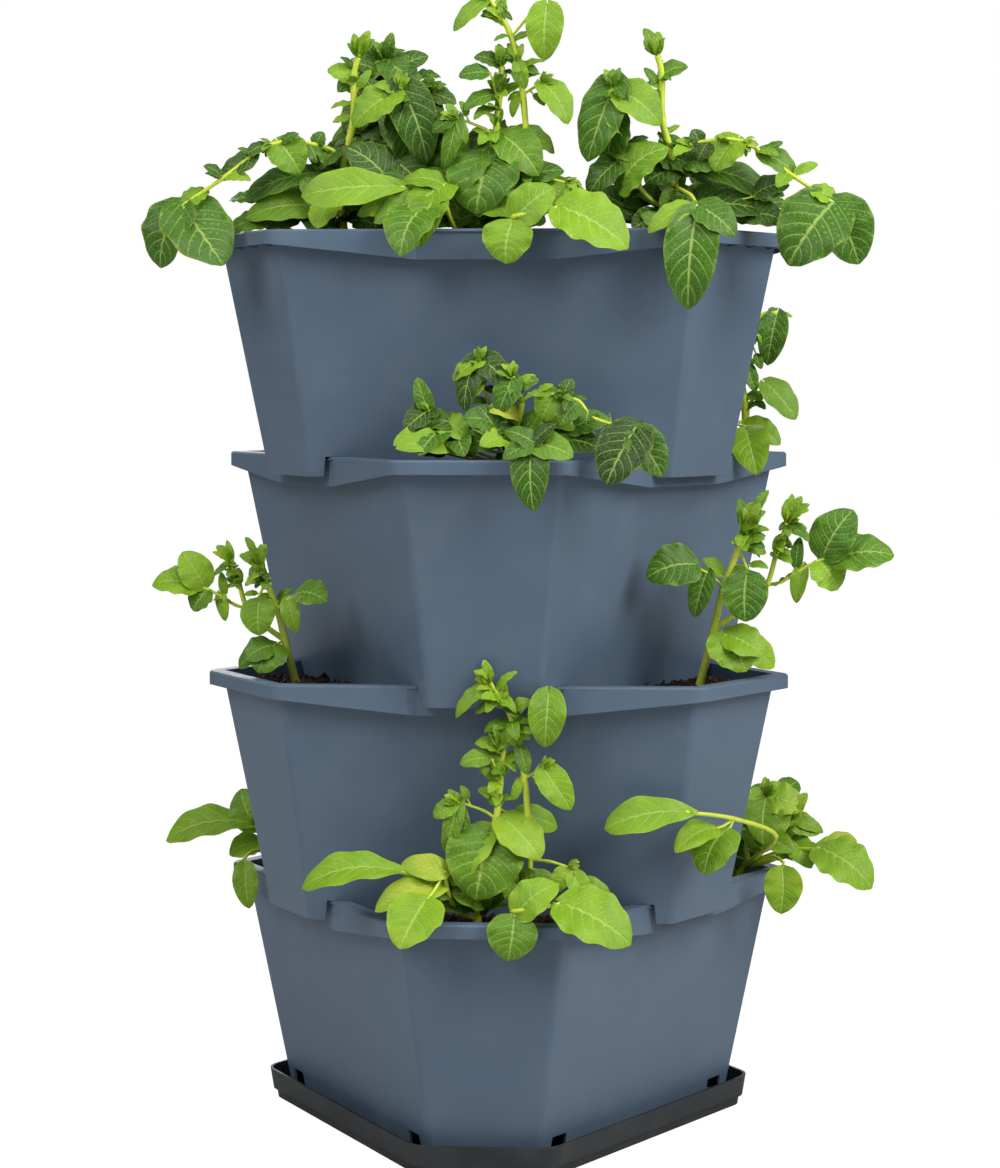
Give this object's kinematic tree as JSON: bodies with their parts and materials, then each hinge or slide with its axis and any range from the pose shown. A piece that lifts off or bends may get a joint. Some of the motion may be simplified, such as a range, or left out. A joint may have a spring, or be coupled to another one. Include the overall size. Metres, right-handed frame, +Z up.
{
  "type": "vertical planter tower",
  "caption": "Stackable planter tower: cut-cornered tiers turned alternately over a saucer, with soil and leafy plants growing from the corner pockets and the top.",
  "frame": {"origin": "middle of the saucer's underside", "axes": "+Z up, -Y towards the front, +X to the right seen from the front"},
  "size_m": [0.6543, 0.5442, 0.983],
  "materials": {
    "tier_plastic": "blue-grey moulded plastic with a soft sheen",
    "saucer_plastic": "charcoal moulded plastic",
    "soil": "moist potting soil with bark pieces",
    "leaves": "living stems and soft leaves"
  },
  "bodies": {
    "saucer": {"saucer": "saucer_plastic"},
    "tier_1": {"tier_1": "tier_plastic", "soil_1": "soil", "plant_1_front": "leaves", "plant_1_front_tall": "leaves", "plant_1_left": "leaves", "plant_1_right": "leaves"},
    "tier_2": {"tier_2": "tier_plastic", "soil_2": "soil", "plant_2_left": "leaves", "plant_2_right": "leaves"},
    "tier_3": {"tier_3": "tier_plastic", "soil_3": "soil", "plant_3_front": "leaves", "plant_3_right": "leaves"},
    "tier_4": {"tier_4": "tier_plastic", "soil_4": "soil", "plant_4_left": "leaves", "plant_4_crowded": "leaves", "plant_4_centre": "leaves", "plant_4_centre_tall": "leaves", "plant_4_right": "leaves"}
  },
  "joints": [
    {"name": "tier_1_lift", "type": "slide", "parent": "saucer", "child": "tier_1", "axis": [0, 0, 1], "range_m": [0, 0.15]},
    {"name": "tier_2_lift", "type": "slide", "parent": "tier_1", "child": "tier_2", "axis": [0, 0, 1], "range_m": [0, 0.15]},
    {"name": "tier_3_lift", "type": "slide", "parent": "tier_2", "child": "tier_3", "axis": [0, 0, 1], "range_m": [0, 0.15]},
    {"name": "tier_4_lift", "type": "slide", "parent": "tier_3", "child": "tier_4", "axis": [0, 0, 1], "range_m": [0, 0.15]}
  ]
}
